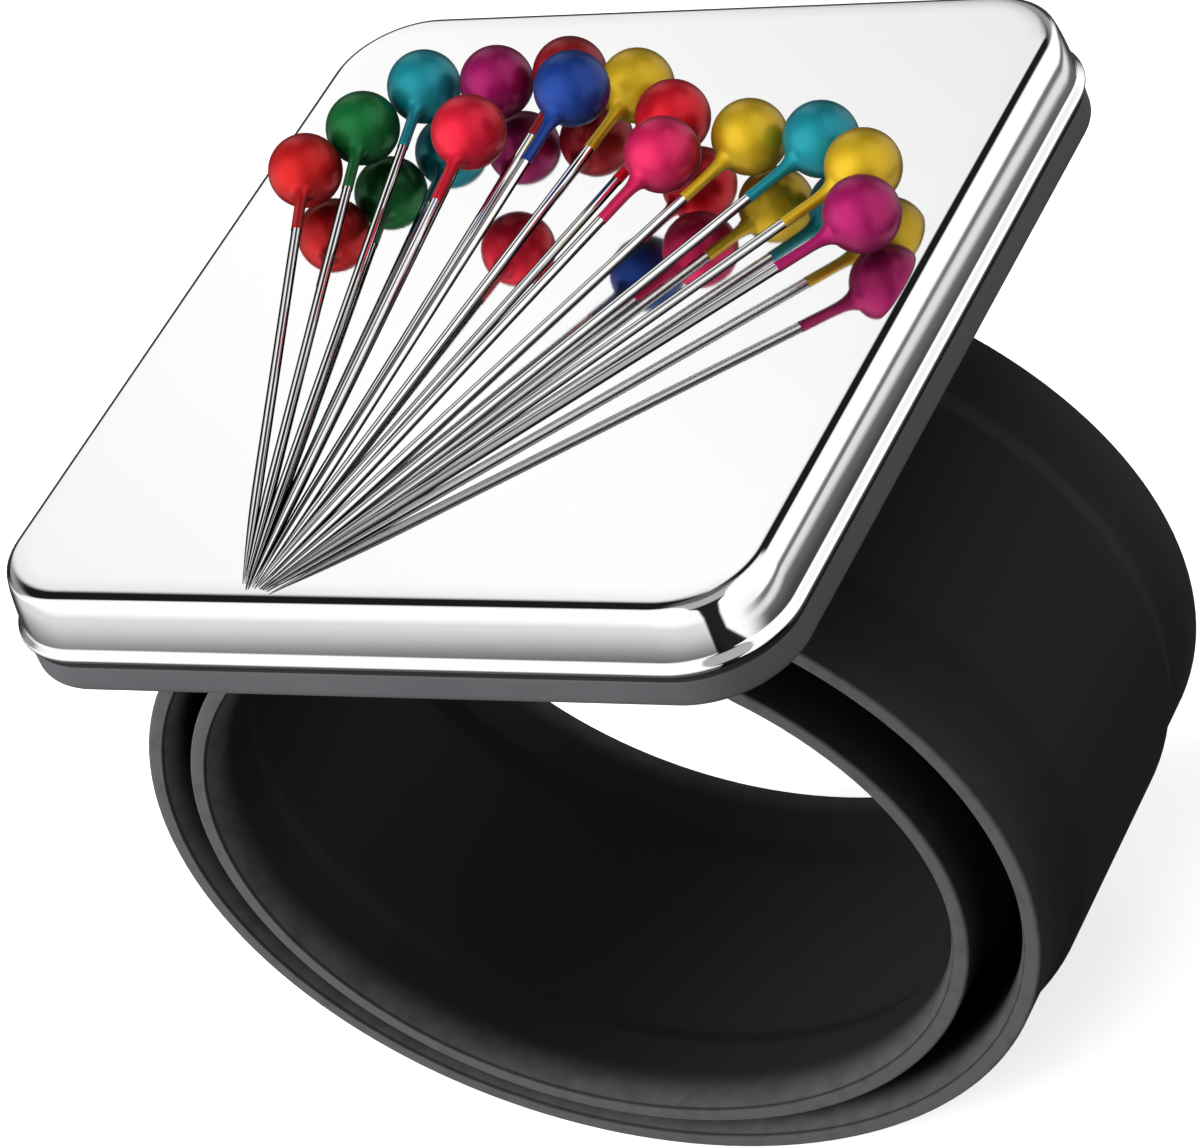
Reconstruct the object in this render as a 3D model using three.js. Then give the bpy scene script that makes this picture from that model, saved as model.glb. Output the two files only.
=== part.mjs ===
// Magnetic pin wristband: a polished steel plate over magnets, worn on a snap band, with a fan of
// pearl-headed pins lying on it. Millimetres, +Z up. The origin is on the wrist's axis, which runs
// along Y; the plate lies above it, centred on X and Y, and its polished face looks along +Z.

import * as THREE from 'three';

// The coil: the inner face of the band's outer layer is an ellipse seen along Y.
const coilHalfWidth = 24.5;
const coilHalfHeight = 20.0;
const coilCentreX = -2.4;

// The band's section: two flat lips with a raised middle that holds the steel strip.
const bandWidth = 25;
const lipThickness = 1.5;
const crownRise = 0.45;
const recessDepth = 0.45;
const crownHalfWidth = 6.9;
const shoulderRun = 0.8;
const rimChamfer = 0.3;
const tailCornerRadius = 5;

// The spring steel strip and the slot that it lies in.
const stripWidth = 12;
const stripThickness = 0.2;
const stripClearance = 0.1;
const stripEndWall = 4;

// How the two arms lie: where each starts and ends on the coil, in degrees from +X about the coil's
// centre, and how far the inner layer stands inside the outer one. It dips in between its root and
// the outer tail, closes up, and then lifts away towards its own tail.
const rootRightAngle = 68;
const rootLeftAngle = 101;
const outerTailAngle = -222;
const innerTailAngle = 424;
const layerGap = 0.3;
const leftLooseness = 0.7;
const tailLift = 3.1;
const dipAfterRoot = 3;
const dipBeforeTail = 5;
const closingStartAngle = 170;
const liftStartAngle = 250;
const liftEndAngle = 400;
const segmentsPerArm = 6;
const stepsPerSegment = 7;
const stepsPerTail = 11;
const jointGap = 0.3;

// The plate.
const plateWidth = 45;
const plateDepth = 50;
const plateCornerRadius = 5.4;
const coverHeight = 3.75;
const coverWall = 0.6;
const coverEdgeRadius = 1.7;
const trayStripHeight = 2.25;
const trayInset = 0.25;
const trayFloor = 1.0;
const trayWall = 1.4;
const trayFootChamfer = 0.35;
const magnetSpacing = 1.6;
const keeperThickness = 0.6;
const seatGap = 0.1;
const padThickness = 0.5;
const padGap = 0.15;

// The pins. They fan out from a focus near the plate's front edge. A head's place is counted in head
// radii: along the fan from its left end, and back from the longest pin's reach.
const headRadius = 2.0;
const fanReach = 40.1;
const fanLeftBearing = -19.3;
const fanFocusX = -5.5;
const fanFocusInset = 0.4;
const shaftRadius = 0.3;
const tipRadius = 0.03;
const tipTaperLength = 7.5;
const tipsFromFocus = 1.5;
const layerClearance = 0.05;
const headRest = 0.2;
const collarLength = 4.4;
const collarWall = 0.06;
const collarFlare = 0.14;
const headBoreDepth = 1.4;
const headBoreClearance = 0.1;

// Each pin: its colour, its place along the fan and back from the reach, the height of its head above
// a resting one, all in head radii, and whether its shaft lies on top of the others.
const fan = [
  { name: 'red_left', colour: '#c3181b', along: 0, back: 3.0, raised: 0, onTop: true },
  { name: 'green', colour: '#0b7a36', along: 1.6, back: 1.55, raised: 0, onTop: true },
  { name: 'teal_left', colour: '#12899a', along: 3.1, back: 0.05, raised: 0, onTop: false },
  { name: 'magenta', colour: '#93116f', along: 5.35, back: 0.25, raised: 0, onTop: false },
  { name: 'rose', colour: '#d3143c', along: 6.3, back: 3.6, raised: 0.85, onTop: true },
  { name: 'crimson', colour: '#a01826', along: 7.5, back: 0, raised: 0, onTop: false },
  { name: 'yellow_left', colour: '#cba718', along: 9.9, back: 0.4, raised: 0, onTop: false },
  { name: 'blue', colour: '#1b3d92', along: 10.35, back: 3.05, raised: 1.95, onTop: true },
  { name: 'red_middle', colour: '#cc1030', along: 11.95, back: 1.45, raised: 0, onTop: true },
  { name: 'pink', colour: '#d51557', along: 13.55, back: 3.3, raised: 0.45, onTop: true },
  { name: 'yellow_middle', colour: '#cba718', along: 15, back: 1.45, raised: 0, onTop: false },
  { name: 'teal_right', colour: '#12899a', along: 17.1, back: 0.65, raised: 0, onTop: false },
  { name: 'yellow_right', colour: '#cba718', along: 19.25, back: 0.75, raised: 0, onTop: false },
  { name: 'purple', colour: '#8a1080', along: 21.15, back: 1.8, raised: 0, onTop: true },
];

const DEG = Math.PI / 180;

// Small helpers

function smoothStep(value, from, to) {
  const u = Math.min(Math.max((value - from) / (to - from), 0), 1);
  return u * u * (3 - 2 * u);
}

function finish(material) {
  return new THREE.MeshStandardMaterial(material);
}

const polishedSteel = finish({ color: '#e6e8ea', roughness: 0.06, metalness: 1 });
const trayPlastic = finish({ color: '#3a3b3d', roughness: 0.55, metalness: 0 });
const silicone = finish({ color: '#1b1b1c', roughness: 0.62, metalness: 0 });
const springSteel = finish({ color: '#8f959b', roughness: 0.3, metalness: 1 });
const magnetNickel = finish({ color: '#b9bcc0', roughness: 0.25, metalness: 1 });
const keeperSteel = finish({ color: '#7c8086', roughness: 0.4, metalness: 1 });
const padRubber = finish({ color: '#2b2b2b', roughness: 0.8, metalness: 0 });
const pinSteel = finish({ color: '#c4c8cc', roughness: 0.12, metalness: 1 });

function pearl(colour) {
  return finish({ color: colour, roughness: 0.25, metalness: 0.3 });
}

function named(name, geometry, material) {
  const mesh = new THREE.Mesh(geometry, material);
  mesh.name = name;
  return mesh;
}

function addQuad(list, a, b, c, d) {
  list.push(a, b, c, a, c, d);
}

// A solid from a list of points and triangles, which are turned over if they enclose a negative volume.
function solid(points, triangles) {
  let volume = 0;
  const edge = new THREE.Vector3();
  for (let i = 0; i < triangles.length; i += 3) {
    const [a, b, c] = [points[triangles[i]], points[triangles[i + 1]], points[triangles[i + 2]]];
    volume += a.dot(edge.crossVectors(b, c));
  }
  if (volume < 0) triangles.reverse();
  const geometry = new THREE.BufferGeometry();
  geometry.setAttribute('position', new THREE.Float32BufferAttribute(points.flatMap((p) => p.toArray()), 3));
  geometry.setIndex(triangles);
  geometry.computeVertexNormals();
  return geometry;
}

// Joins rings of points, all with the same count, by walls, and closes the first and the last ring
// with the flat triangles of cap.
function loft(rings, cap) {
  const count = rings[0].length;
  const points = rings.flat();
  const triangles = [];
  for (let r = 0; r + 1 < rings.length; r += 1) {
    for (let i = 0; i < count; i += 1) {
      const j = (i + 1) % count;
      addQuad(triangles, r * count + i, r * count + j, (r + 1) * count + j, (r + 1) * count + i);
    }
  }
  const last = (rings.length - 1) * count;
  for (const [a, b, c] of cap) {
    triangles.push(a, c, b);
    triangles.push(last + a, last + b, last + c);
  }
  return { points, triangles };
}

// The triangles that fill an outline less its holes, all turned the same way as the outline.
function flatCap(outline, holes = []) {
  const corners = [outline, ...holes].flat();
  const way = Math.sign(THREE.ShapeUtils.area(outline));
  return THREE.ShapeUtils.triangulateShape([...outline], holes.map((hole) => [...hole]))
    .map(([a, b, c]) => {
      const turn = THREE.ShapeUtils.area([corners[a], corners[b], corners[c]]);
      return Math.sign(turn) === way ? [a, b, c] : [a, c, b];
    });
}

// Plate

// A rounded rectangle's outline at height z.
const cornerSteps = 7;
function roundedRing(width, depth, radius, z) {
  const ring = [];
  const corners = [[1, -1, -90], [1, 1, 0], [-1, 1, 90], [-1, -1, 180]];
  for (const [sx, sy, start] of corners) {
    for (let i = 0; i <= cornerSteps; i += 1) {
      const angle = (start + (90 * i) / cornerSteps) * DEG;
      const x = sx * (width / 2 - radius) + radius * Math.cos(angle);
      const y = sy * (depth / 2 - radius) + radius * Math.sin(angle);
      ring.push(new THREE.Vector3(x, y, z));
    }
  }
  return ring;
}

function plateRing(inset, z) {
  return roundedRing(plateWidth - 2 * inset, plateDepth - 2 * inset, plateCornerRadius - inset, z);
}

function ringLoft(rings) {
  return loft(rings, flatCap(rings[0].map((p) => new THREE.Vector2(p.x, p.y))));
}

const crownOuter = lipThickness + crownRise;
const trayBottom = coilHalfHeight + crownOuter + padGap + padThickness + seatGap;
const coverBottom = trayBottom + trayStripHeight;
const plateTop = coverBottom + coverHeight;
const coverCeiling = plateTop - coverWall;
const trayFloorTop = trayBottom + trayFloor;
const keeperBottom = trayFloorTop + seatGap;
const magnetBottom = keeperBottom + keeperThickness + seatGap;
const magnetTop = coverCeiling - seatGap;
const lipInset = coverWall + seatGap;
const lipTop = plateTop - coverEdgeRadius - seatGap;
const pocketInset = lipInset + trayWall;

// The cover's wall goes up the outside, round the edge, across the top, and back down the inside.
function coverGeometry() {
  const edgeSteps = 6;
  const outer = [];
  const inner = [];
  for (let i = 0; i <= edgeSteps; i += 1) {
    const angle = (90 * i * DEG) / edgeSteps;
    const rise = coverEdgeRadius * Math.sin(angle);
    const inset = coverEdgeRadius * (1 - Math.cos(angle));
    const innerRadius = coverEdgeRadius - coverWall;
    outer.push(plateRing(inset, plateTop - coverEdgeRadius + rise));
    inner.push(plateRing(
      coverWall + innerRadius * (1 - Math.cos(angle)),
      plateTop - coverEdgeRadius + innerRadius * Math.sin(angle),
    ));
  }
  const rings = [
    ...inner.reverse(),
    plateRing(coverWall, coverBottom),
    plateRing(0, coverBottom),
    ...outer,
  ];
  const { points, triangles } = ringLoft(rings);
  return solid(points, triangles);
}

// The tray: a strip that shows under the cover, and a lip inside it round the keeper and the magnets.
function trayGeometry() {
  const rings = [
    plateRing(pocketInset, trayFloorTop),
    plateRing(pocketInset, lipTop),
    plateRing(lipInset, lipTop),
    plateRing(lipInset, coverBottom - seatGap),
    plateRing(trayInset, coverBottom - seatGap),
    plateRing(trayInset, trayBottom + trayFootChamfer),
    plateRing(trayInset + trayFootChamfer, trayBottom),
  ];
  const { points, triangles } = ringLoft(rings);
  return solid(points, triangles);
}

function keeperGeometry() {
  const inset = pocketInset + seatGap;
  const rings = [plateRing(inset, keeperBottom), plateRing(inset, keeperBottom + keeperThickness)];
  const { points, triangles } = ringLoft(rings);
  return solid(points, triangles);
}

// Each of the two magnets fills its half of the pocket, as far as the pocket's round corners let it.
const cornerMargin = (plateCornerRadius - pocketInset) * (1 - Math.SQRT1_2) + seatGap;
const magnetWidth = (plateWidth - magnetSpacing) / 2 - pocketInset - cornerMargin;
const magnetDepth = plateDepth - 2 * (pocketInset + cornerMargin);

function magnetMesh(name, side) {
  const geometry = new THREE.BoxGeometry(magnetWidth, magnetDepth, magnetTop - magnetBottom);
  const mesh = named(name, geometry, magnetNickel);
  mesh.position.set((side * (magnetWidth + magnetSpacing)) / 2, 0, (magnetTop + magnetBottom) / 2);
  return mesh;
}

function plateGroup() {
  const group = new THREE.Group();
  group.add(
    named('steel_cover', coverGeometry(), polishedSteel),
    named('base_tray', trayGeometry(), trayPlastic),
    named('keeper_plate', keeperGeometry(), keeperSteel),
    magnetMesh('magnet_left', -1),
    magnetMesh('magnet_right', 1),
  );
  return group;
}

// Coil

const coilCentre = new THREE.Vector2(coilCentreX, 0);
const layerPitch = lipThickness + layerGap;

function coilPoint(angle) {
  return new THREE.Vector2(
    coilCentre.x + coilHalfWidth * Math.cos(angle * DEG),
    coilCentre.y + coilHalfHeight * Math.sin(angle * DEG),
  );
}

function coilOutward(angle) {
  return new THREE.Vector2(
    coilHalfHeight * Math.cos(angle * DEG),
    coilHalfWidth * Math.sin(angle * DEG),
  ).normalize();
}

// How far the inner layer's inner face stands inside the outer layer's: nothing at the root, one
// layer where the outer tail lies over it, and more where its own tail springs inward.
function innerLayerOffset(angle) {
  const dipEnd = 360 + outerTailAngle - dipBeforeTail;
  const dip = (layerPitch + leftLooseness) * smoothStep(angle, rootLeftAngle + dipAfterRoot, dipEnd);
  const closing = leftLooseness * smoothStep(angle, closingStartAngle, liftStartAngle);
  const lifting = tailLift * smoothStep(angle, liftStartAngle, liftEndAngle);
  return dip - closing + lifting;
}

// An arm's path: stations along its inner face, each with a point, the outward direction and the
// distance travelled along the crown, where the hinge lines lie.
function traceArm(fromAngle, toAngle, offsetAt) {
  const samples = 1600;
  const inner = [];
  for (let i = 0; i <= samples; i += 1) {
    const angle = fromAngle + ((toAngle - fromAngle) * i) / samples;
    const point = coilPoint(angle).addScaledVector(coilOutward(angle), -offsetAt(angle));
    inner.push(point);
  }
  const stations = inner.map((point, i) => {
    const ahead = inner[Math.min(i + 1, samples)];
    const behind = inner[Math.max(i - 1, 0)];
    const along = ahead.clone().sub(behind).normalize();
    const outward = new THREE.Vector2(along.y, -along.x);
    if (outward.dot(point.clone().sub(coilCentre)) < 0) outward.negate();
    return { point, outward, travelled: 0 };
  });
  for (let i = 1; i <= samples; i += 1) {
    const here = crownPoint(stations[i]);
    stations[i].travelled = stations[i - 1].travelled + here.distanceTo(crownPoint(stations[i - 1]));
  }
  return stations;
}

function crownPoint(station) {
  return station.point.clone().addScaledVector(station.outward, crownOuter);
}

function stationAt(stations, travelled) {
  let i = 1;
  while (i + 1 < stations.length && stations[i].travelled < travelled) i += 1;
  const [a, b] = [stations[i - 1], stations[i]];
  const u = (travelled - a.travelled) / (b.travelled - a.travelled);
  return {
    point: a.point.clone().lerp(b.point, u),
    outward: a.outward.clone().lerp(b.outward, u).normalize(),
    travelled,
  };
}

function stationsBetween(stations, from, to, steps) {
  const list = [];
  for (let i = 0; i <= steps; i += 1) list.push(stationAt(stations, from + ((to - from) * i) / steps));
  return list;
}

// The band's section across Y, counted outward from the inner face of its lips.
function bandSection(halfWidth) {
  const shoulderEnd = crownHalfWidth + shoulderRun;
  const rightAndTop = [
    [halfWidth, rimChamfer],
    [halfWidth, lipThickness - rimChamfer],
    [halfWidth - rimChamfer, lipThickness],
    [shoulderEnd, lipThickness],
    [crownHalfWidth, crownOuter],
  ];
  const bottom = [
    [crownHalfWidth, recessDepth],
    [shoulderEnd, 0],
    [halfWidth - rimChamfer, 0],
  ];
  const mirrored = (list) => list.map(([y, n]) => [-y, n]).reverse();
  return [...rightAndTop, ...mirrored(rightAndTop), ...mirrored(bottom), ...bottom]
    .map(([y, n]) => new THREE.Vector2(y, n));
}

const slotMiddle = (recessDepth + crownOuter) / 2;

function stripSection(clearance) {
  const halfWidth = stripWidth / 2 + clearance;
  const halfThickness = stripThickness / 2 + clearance;
  return [[-1, -1], [1, -1], [1, 1], [-1, 1]]
    .map(([sy, sn]) => new THREE.Vector2(sy * halfWidth, slotMiddle + sn * halfThickness));
}

function placeSection(section, station) {
  return section.map((p) => {
    const at = station.point.clone().addScaledVector(station.outward, p.y);
    return new THREE.Vector3(at.x, p.x, at.y);
  });
}

// Half the band's width at a distance from an arm's free end, whose corners are round.
function halfWidthNear(fromEnd) {
  const left = Math.max(tailCornerRadius - fromEnd, 0);
  const drawnIn = tailCornerRadius - Math.sqrt(tailCornerRadius ** 2 - left ** 2);
  const narrowest = crownHalfWidth + shoulderRun + 2 * rimChamfer;
  return Math.max(bandWidth / 2 - drawnIn, narrowest);
}

// A length of sleeve from the list of its sections, and the slot's sections inside it. Where the slot
// is as long as the sleeve both ends are open; a shorter slot ends at a wall.
function sleeveGeometry(outlines, stations, slotStations, throughSlot) {
  const slotOutline = stripSection(stripClearance);
  const outer = stations.map((station, i) => placeSection(outlines[i], station));
  const slot = slotStations.map((station) => placeSection(slotOutline, station));
  const body = loft(outer, []);
  const hollow = loft(slot, []);
  const base = body.points.length;
  const points = [...body.points, ...hollow.points];
  const triangles = [...body.triangles, ...hollow.triangles.map((i) => i + base).reverse()];
  const count = outlines[0].length;
  const lastOuter = base - count;
  const lastSlot = points.length - slotOutline.length;
  const corner = (i, outerStart, slotStart) => (i < count ? outerStart + i : slotStart + i - count);
  for (const [a, b, c] of flatCap(outlines[0], [slotOutline])) {
    triangles.push(corner(a, 0, base), corner(c, 0, base), corner(b, 0, base));
  }
  if (throughSlot) {
    for (const face of flatCap(outlines[outlines.length - 1], [slotOutline])) {
      triangles.push(...face.map((i) => corner(i, lastOuter, lastSlot)));
    }
  } else {
    for (const face of flatCap(outlines[outlines.length - 1])) {
      triangles.push(...face.map((i) => lastOuter + i));
    }
    for (const [a, b, c] of flatCap(slotOutline)) triangles.push(lastSlot + a, lastSlot + c, lastSlot + b);
  }
  return solid(points, triangles);
}

function stripGeometry(stations) {
  const section = stripSection(0);
  const { points, triangles } = loft(stations.map((s) => placeSection(section, s)), flatCap(section));
  return solid(points, triangles);
}

function throughPair(name, path, from, to) {
  const stations = stationsBetween(path, from, to, stepsPerSegment);
  const outlines = stations.map(() => bandSection(bandWidth / 2));
  return [
    named(`${name}_sleeve`, sleeveGeometry(outlines, stations, stations, true), silicone),
    named(`${name}_spring`, stripGeometry(stations), springSteel),
  ];
}

function tailPair(name, path, from, to) {
  const stations = stationsBetween(path, from, to, stepsPerTail);
  const outlines = stations.map((s) => bandSection(halfWidthNear(to - s.travelled)));
  const slotEnd = to - stripEndWall;
  const upTo = (end) => [...stations.filter((s) => s.travelled < end - jointGap), stationAt(path, end)];
  return [
    named(`${name}_sleeve`, sleeveGeometry(outlines, stations, upTo(slotEnd), false), silicone),
    named(`${name}_spring`, stripGeometry(upTo(slotEnd - jointGap)), springSteel),
  ];
}

// An arm is cut square to its path into equal lengths. Neighbours turn about the line where the cut
// between them meets the crown.
function armPieces(name, path) {
  const length = path[path.length - 1].travelled;
  const pieces = [];
  for (let k = 0; k < segmentsPerArm; k += 1) {
    const from = (length * k) / segmentsPerArm + jointGap / 2;
    const to = (length * (k + 1)) / segmentsPerArm;
    const label = `${name}_${k + 1}`;
    if (k + 1 < segmentsPerArm) pieces.push(...throughPair(label, path, from, to - jointGap / 2));
    else pieces.push(...tailPair(label, path, from, to));
  }
  return pieces;
}

const outerPath = traceArm(rootRightAngle, outerTailAngle, () => 0);
const innerPath = traceArm(rootLeftAngle, innerTailAngle, innerLayerOffset);
const rootPath = traceArm(rootRightAngle, rootLeftAngle, () => 0);

// The pad between the tray's flat underside and the crown of the band's root.
function padGeometry() {
  const length = rootPath[rootPath.length - 1].travelled;
  const stations = stationsBetween(rootPath, jointGap, length - jointGap, stepsPerSegment);
  const underside = stations.map((s) => s.point.clone().addScaledVector(s.outward, crownOuter + padGap));
  const top = trayBottom - seatGap;
  const profile = [
    ...underside,
    new THREE.Vector2(underside[underside.length - 1].x, top),
    new THREE.Vector2(underside[0].x, top),
  ];
  const sides = [-1, 1].map((side) => profile.map((p) => new THREE.Vector3(p.x, side * crownHalfWidth, p.y)));
  const { points, triangles } = loft(sides, flatCap(profile));
  return solid(points, triangles);
}

function bandGroup() {
  const group = new THREE.Group();
  const rootLength = rootPath[rootPath.length - 1].travelled;
  group.add(
    named('saddle_pad', padGeometry(), padRubber),
    ...throughPair('band_root', rootPath, jointGap / 2, rootLength - jointGap / 2),
    ...armPieces('outer_arm', outerPath),
    ...armPieces('inner_arm', innerPath),
  );
  return group;
}

// Pins

const fanFocus = new THREE.Vector3(fanFocusX, fanFocusInset - plateDepth / 2, plateTop);
const lowTipHeight = tipRadius + layerClearance;
const highTipHeight = lowTipHeight + 2 * tipRadius + layerClearance;

// Where a pin lies: its tip, the unit vector towards its head, and its length to the head's middle.
function pinLie({ along, back, raised, onTop }) {
  const bearing = fanLeftBearing * DEG + (along * headRadius) / fanReach;
  const outward = new THREE.Vector3(Math.sin(bearing), Math.cos(bearing), 0);
  const tip = fanFocus.clone().addScaledVector(outward, tipsFromFocus);
  tip.z += onTop ? highTipHeight : lowTipHeight;
  const head = fanFocus.clone().addScaledVector(outward, fanReach - back * headRadius);
  head.z += headRadius * (1 + raised) + headRest;
  const length = tip.distanceTo(head);
  return { tip, direction: head.sub(tip).divideScalar(length), length };
}

const shaftSides = 8;
function shaftGeometry(length) {
  const end = length - headRadius + headBoreDepth - headBoreClearance;
  return new THREE.LatheGeometry([
    new THREE.Vector2(0, 0),
    new THREE.Vector2(tipRadius, 0),
    new THREE.Vector2(shaftRadius, tipTaperLength),
    new THREE.Vector2(shaftRadius, end),
    new THREE.Vector2(0, end),
  ], shaftSides);
}

// A head is a ball with a collar that flares up to it, moulded round the shaft's end.
const headSides = 12;
const ballSteps = 6;
function headGeometry(length) {
  const boreRadius = shaftRadius + headBoreClearance;
  const collarStart = length - headRadius - collarLength;
  const neckRadius = boreRadius + collarWall + collarFlare;
  const neckAngle = Math.asin(neckRadius / headRadius);
  const profile = [
    new THREE.Vector2(0, length - headRadius + headBoreDepth),
    new THREE.Vector2(boreRadius, length - headRadius + headBoreDepth),
    new THREE.Vector2(boreRadius, collarStart),
    new THREE.Vector2(boreRadius + collarWall, collarStart),
  ];
  for (let i = 0; i <= ballSteps; i += 1) {
    const angle = Math.PI - neckAngle - ((Math.PI - neckAngle) * i) / ballSteps;
    const radius = i === ballSteps ? 0 : headRadius * Math.sin(angle);
    profile.push(new THREE.Vector2(radius, length + headRadius * Math.cos(angle)));
  }
  return new THREE.LatheGeometry(profile, headSides);
}

function pinGroup(pin) {
  const { tip, direction, length } = pinLie(pin);
  const group = new THREE.Group();
  group.position.copy(tip);
  group.quaternion.setFromUnitVectors(new THREE.Vector3(0, 1, 0), direction);
  group.add(
    named(`pin_${pin.name}_shaft`, shaftGeometry(length), pinSteel),
    named(`pin_${pin.name}_head`, headGeometry(length), pearl(pin.colour)),
  );
  return group;
}

const wristband = new THREE.Group();
wristband.add(plateGroup(), bandGroup(), ...fan.map(pinGroup));

export default wristband;
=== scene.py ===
# %% [markdown]
# # Magnetic pin wristband
#
# A polished steel plate with magnets under it rides on a silicone snap band that curls round the
# wrist. A fan of pearl-headed pins lies on the plate. The measured model of it comes first, as a
# fixed frame, and each piece that shows is then made again as a finer surface in the same place.

import bpy
import numpy as np
from mathutils import Matrix, Vector
from mathutils.geometry import tessellate_polygon


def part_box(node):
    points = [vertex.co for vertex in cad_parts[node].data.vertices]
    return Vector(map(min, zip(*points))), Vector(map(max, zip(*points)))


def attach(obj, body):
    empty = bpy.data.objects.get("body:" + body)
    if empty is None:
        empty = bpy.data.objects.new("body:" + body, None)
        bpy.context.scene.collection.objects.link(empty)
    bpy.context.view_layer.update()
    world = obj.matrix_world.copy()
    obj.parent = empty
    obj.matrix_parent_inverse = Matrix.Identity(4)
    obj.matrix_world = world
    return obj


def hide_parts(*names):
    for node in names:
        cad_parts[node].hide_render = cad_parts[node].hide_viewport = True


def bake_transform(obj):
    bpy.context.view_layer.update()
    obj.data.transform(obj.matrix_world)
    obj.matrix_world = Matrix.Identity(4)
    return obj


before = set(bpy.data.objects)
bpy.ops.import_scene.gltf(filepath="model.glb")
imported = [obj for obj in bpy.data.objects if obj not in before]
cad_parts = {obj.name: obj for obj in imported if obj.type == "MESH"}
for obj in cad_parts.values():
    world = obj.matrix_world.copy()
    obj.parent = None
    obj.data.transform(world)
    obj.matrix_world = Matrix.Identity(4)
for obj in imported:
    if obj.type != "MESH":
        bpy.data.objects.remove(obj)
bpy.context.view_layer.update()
MM = 0.001

# %% [markdown]
# ## Camera
#
# The picture was taken from a third of a metre away, above the front right corner, through a long
# lens. It could be aimed at a target point, but that would leave its roll open. So its place and
# two of its axes are written as numbers, and the third axis is square to both.

# %% Place the camera
camera_data = bpy.data.cameras.new("camera")
camera_data.sensor_width = 36
camera_data.lens = 181
camera_data.clip_start = 0.01
camera = bpy.data.objects.new("camera", camera_data)
bpy.context.scene.collection.objects.link(camera)
camera_right = Vector((0.8642, 0.3853, -0.3236))
camera_back = Vector((0.5030, -0.6451, 0.5751))
camera_up = camera_back.cross(camera_right)
camera_place = Vector((158.4, -207.5, 194.0)) * MM
framing_up, framing_left = 0.17, 0.07
camera_place += (camera_up * framing_up - camera_right * framing_left) * MM
turn = Matrix((camera_right, camera_up, camera_back)).transposed().to_4x4()
camera.matrix_world = Matrix.Translation(camera_place) @ turn
bpy.context.scene.camera = camera
print("camera is", round(camera_place.length / MM), "mm from the wrist's axis")

# %% [markdown]
# ## Surfaces from rings
#
# Every piece here is a skin over a stack of closed rings: a profile carried along a path, or a
# profile turned round an axis. Blender's own curves with a bevel and its Screw modifier could make
# them too, but rings worked out with numpy give each point a known place, so a hollow, an end and
# an attribute can follow. One helper joins the rings with quads. Its ends are closed by flat faces,
# or run to the rings of a hollow inside, so each piece is a closed body.


# %% Join rings of points into a closed mesh
def wall_faces(layers, count, start=0, inward=False):
    """Quads between each ring and the next: ring r, point i joins ring r + 1, point i + 1."""
    r, i = np.meshgrid(np.arange(layers - 1), np.arange(count), indexing="ij")
    j = (i + 1) % count
    quads = np.stack([r * count + i, r * count + j, (r + 1) * count + j, (r + 1) * count + i], -1)
    quads = quads.reshape(-1, 4) + start
    return quads[:, ::-1].tolist() if inward else quads.tolist()


def make_piece(name, points, faces, material, sharp=35):
    """A mesh object in metres from points in millimetres. Edges sharper than the angle stay crisp."""
    mesh = bpy.data.meshes.new(name)
    mesh.from_pydata((np.asarray(points).reshape(-1, 3) * MM).tolist(), [], faces)
    mesh.validate()
    mesh.shade_smooth()
    mesh.set_sharp_from_angle(angle=np.radians(sharp))
    mesh.materials.append(material)
    piece = bpy.data.objects.new(name, mesh)
    bpy.context.scene.collection.objects.link(piece)
    return piece


def turned_out(points, faces):
    """The faces, reversed if they enclose a negative volume: the sum of corner triple products."""
    fans = [(f[0], f[k], f[k + 1]) for f in faces for k in range(1, len(f) - 1)]
    a, b, c = (points.reshape(-1, 3)[np.array(fans)[:, k]] for k in range(3))
    volume = np.einsum("ij,ij->i", a, np.cross(b, c)).sum()
    return faces if volume > 0 else [f[::-1] for f in faces]


def mark(piece, name, shares):
    """Gives each point of the piece a number, as an attribute that its finish reads."""
    attribute = piece.data.attributes.new(name, "FLOAT", "POINT")
    attribute.data.foreach_set("value", shares.astype(np.float32))


def ring_body(name, rings, material, sharp=35):
    """A closed body from a stack of rings, with a flat face over the first and the last."""
    layers, count, _ = rings.shape
    faces = wall_faces(layers, count)
    faces.append(list(range(count))[::-1])
    faces.append([(layers - 1) * count + i for i in range(count)])
    points = rings.reshape(-1, 3)
    return make_piece(name, points, turned_out(points, faces), material, sharp)


# %% [markdown]
# ## Finishes
#
# Steel that is pressed and polished has a mirror's gloss with hair-fine polishing marks. A shaft is
# so thin that it mirrors the whole room across its width, and only the ceiling is bright, so a dark
# reflection is painted on its sides and edges. The pin heads are plastic under a pearl lacquer: a
# tinted metal flake below a clear coat. The band is silicone with a matt near-black skin, and light
# is painted along its rims. Painted images could hold such marks, but they blur close up. Here each
# finish gets its detail from noise in the piece's own coordinates, so the marks stay crisp and keep
# their real size. Where a tint follows the shape, as the painted rim light does, the mesh carries it
# as an attribute.


# %% Start a finish and add nodes to it
def finish(name, colour, roughness, metallic=0.0, coat=0.0):
    """A material with its shader, and its base values set on the shader's own sockets."""
    material = bpy.data.materials.new(name)
    material.use_nodes = True
    shader = material.node_tree.nodes["Principled BSDF"]
    shader.inputs["Base Color"].default_value = (*colour, 1)
    shader.inputs["Roughness"].default_value = roughness
    shader.inputs["Metallic"].default_value = metallic
    shader.inputs["Coat Weight"].default_value = coat
    shader.inputs["Coat Roughness"].default_value = 0.06
    return material, shader


def add_node(material, kind, **values):
    """A node with its named inputs set."""
    node = material.node_tree.nodes.new(kind)
    for key, value in values.items():
        node.inputs[key.replace("_", " ")].default_value = value
    return node


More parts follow.
